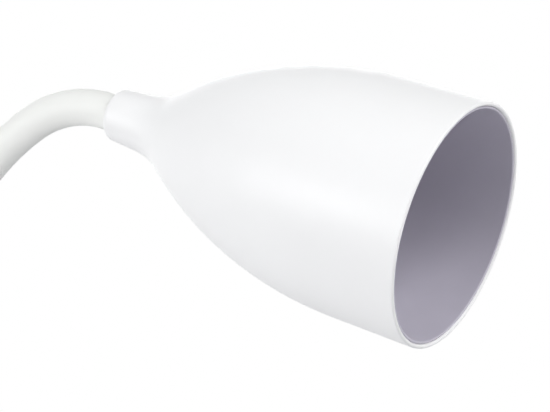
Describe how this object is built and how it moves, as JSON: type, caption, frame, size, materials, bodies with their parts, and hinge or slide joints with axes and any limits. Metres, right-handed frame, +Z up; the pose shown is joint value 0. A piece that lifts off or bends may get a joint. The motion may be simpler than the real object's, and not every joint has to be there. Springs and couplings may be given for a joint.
{
  "type": "clip-on lamp",
  "caption": "White clip-on reading lamp: a bullet-shaped shade on a sleeved gooseneck, held by a sprung clip with rubber pads and a push switch.",
  "frame": {"origin": "middle of the upper pad's gripping face, which lies on the shelf that the clip holds", "axes": "+Z up out of the shelf, +X the way that the jaws and the shade point, Y along the hinge pin"},
  "size_m": [0.2572, 0.07, 0.2959],
  "materials": {
    "shade_white": "smooth satin white",
    "reflector_grey": "satin grey lining",
    "diffuser_opal": "opal",
    "board_white": "white solder mask",
    "emitter_yellow": "silicone over phosphor",
    "bare_aluminium": "die cast",
    "plated_brass": "turned",
    "steel": "zinc plated",
    "spine_steel": "phosphated",
    "sleeve_white": "smooth satin silicone",
    "cable_grey": "matt jacket",
    "moulding_white": "fine moulded satin",
    "pad_grey": "matt",
    "switch_black": "moulded"
  },
  "bodies": {
    "clip": {"top_shell": "moulding_white", "bottom_shell": "moulding_white", "upper_pad": "pad_grey", "hinge_pin": "steel", "pin_retainer": "steel", "torsion_spring": "steel", "shell_screws": "steel", "switch_body": "switch_black", "cord_gland": "pad_grey", "foot_ferrule": "plated_brass", "foot_washer": "steel", "foot_nut": "plated_brass", "neck_cable": "cable_grey", "sleeve_foot": "sleeve_white", "spine_foot": "spine_steel"},
    "jaw": {"lower_arm": "moulding_white", "lower_pad": "pad_grey"},
    "button": {"push_button": "moulding_white", "switch_plunger": "switch_black"},
    "link_1": {"sleeve_1": "sleeve_white", "spine_1": "spine_steel"},
    "link_2": {"sleeve_2": "sleeve_white", "spine_2": "spine_steel"},
    "link_3": {"sleeve_3": "sleeve_white", "spine_3": "spine_steel"},
    "link_4": {"sleeve_4": "sleeve_white", "spine_4": "spine_steel"},
    "link_5": {"sleeve_5": "sleeve_white", "spine_5": "spine_steel"},
    "link_6": {"sleeve_6": "sleeve_white", "spine_6": "spine_steel"},
    "link_7": {"sleeve_7": "sleeve_white", "spine_7": "spine_steel"},
    "link_8": {"sleeve_8": "sleeve_white", "spine_8": "spine_steel"},
    "link_9": {"sleeve_9": "sleeve_white", "spine_9": "spine_steel"},
    "head": {"shade": "shade_white", "reflector": "reflector_grey", "diffuser": "diffuser_opal", "spacer_ring": "moulding_white", "led_board": "board_white", "led_emitter": "emitter_yellow", "board_screws": "steel", "heat_sink": "bare_aluminium", "head_ferrule": "plated_brass", "head_washer": "steel", "head_nut": "plated_brass", "sleeve_head": "sleeve_white", "spine_head": "spine_steel"}
  },
  "joints": [
    {"name": "neck_lower", "type": "hinge", "parent": "clip", "child": "link_1", "pos_m": [-0.024, 0, 0.039], "axis": [0.0005, 1, 0.0003], "range_deg": [-16, 14], "deforming": ["neck_cable"]},
    {"name": "neck_side", "type": "hinge", "parent": "link_1", "child": "link_2", "pos_m": [-0.024, 0, 0.067], "axis": [1, 0.0005, 0], "range_deg": [-15, 15]},
    {"name": "neck_lower_2", "type": "hinge", "parent": "link_2", "child": "link_3", "pos_m": [-0.024, 0, 0.095], "axis": [0.0005, 1, 0.0003], "range_deg": [-16, 14]},
    {"name": "neck_lower_3", "type": "hinge", "parent": "link_3", "child": "link_4", "pos_m": [-0.024, 0, 0.123], "axis": [0.0005, 1, 0.0003], "range_deg": [-16, 14]},
    {"name": "neck_side_2", "type": "hinge", "parent": "link_4", "child": "link_5", "pos_m": [-0.02278, 0, 0.15096], "axis": [0.9962, 0.0005, -0.0872], "range_deg": [-15, 15]},
    {"name": "neck_upper", "type": "hinge", "parent": "link_5", "child": "link_6", "pos_m": [-0.0184, 0, 0.1786], "axis": [0.0005, 1, 0.0003], "range_deg": [-16, 8]},
    {"name": "neck_upper_2", "type": "hinge", "parent": "link_6", "child": "link_7", "pos_m": [-0.00953, 0, 0.20511], "axis": [0.0005, 1, 0.0003], "range_deg": [-16, 8]},
    {"name": "neck_side_3", "type": "hinge", "parent": "link_7", "child": "link_8", "pos_m": [0.00518, 0, 0.22883], "axis": [0.7705, 0.0005, -0.6374], "range_deg": [-15, 15]},
    {"name": "neck_upper_3", "type": "hinge", "parent": "link_8", "child": "link_9", "pos_m": [0.02639, 0, 0.24689], "axis": [0.0005, 1, 0.0003], "range_deg": [-16, 8]},
    {"name": "neck_upper_4", "type": "hinge", "parent": "link_9", "child": "head", "pos_m": [0.05342, 0, 0.25016], "axis": [0.0005, 1, 0.0003], "range_deg": [-16, 8]},
    {"name": "clip_open", "type": "hinge", "parent": "clip", "child": "jaw", "pos_m": [-0.03, 0, -0.003], "axis": [0, 1, 0], "range_deg": [0, 34], "stiffness_Nm_per_rad": 0.6, "springref_deg": -57.3, "deforming": ["torsion_spring"]},
    {"name": "switch_press", "type": "slide", "parent": "clip", "child": "button", "axis": [0, 0, -1], "range_m": [0, 0.0015], "stiffness_N_per_m": 300, "springref_m": -0.002}
  ],
  "couplings": [
    {"joint": "neck_lower_2", "follows": "neck_lower", "ratio": 1},
    {"joint": "neck_lower_3", "follows": "neck_lower", "ratio": 1},
    {"joint": "neck_upper_2", "follows": "neck_upper", "ratio": 1},
    {"joint": "neck_upper_3", "follows": "neck_upper", "ratio": 1},
    {"joint": "neck_upper_4", "follows": "neck_upper", "ratio": 1},
    {"joint": "neck_side_2", "follows": "neck_side", "ratio": 1},
    {"joint": "neck_side_3", "follows": "neck_side", "ratio": 1}
  ]
}
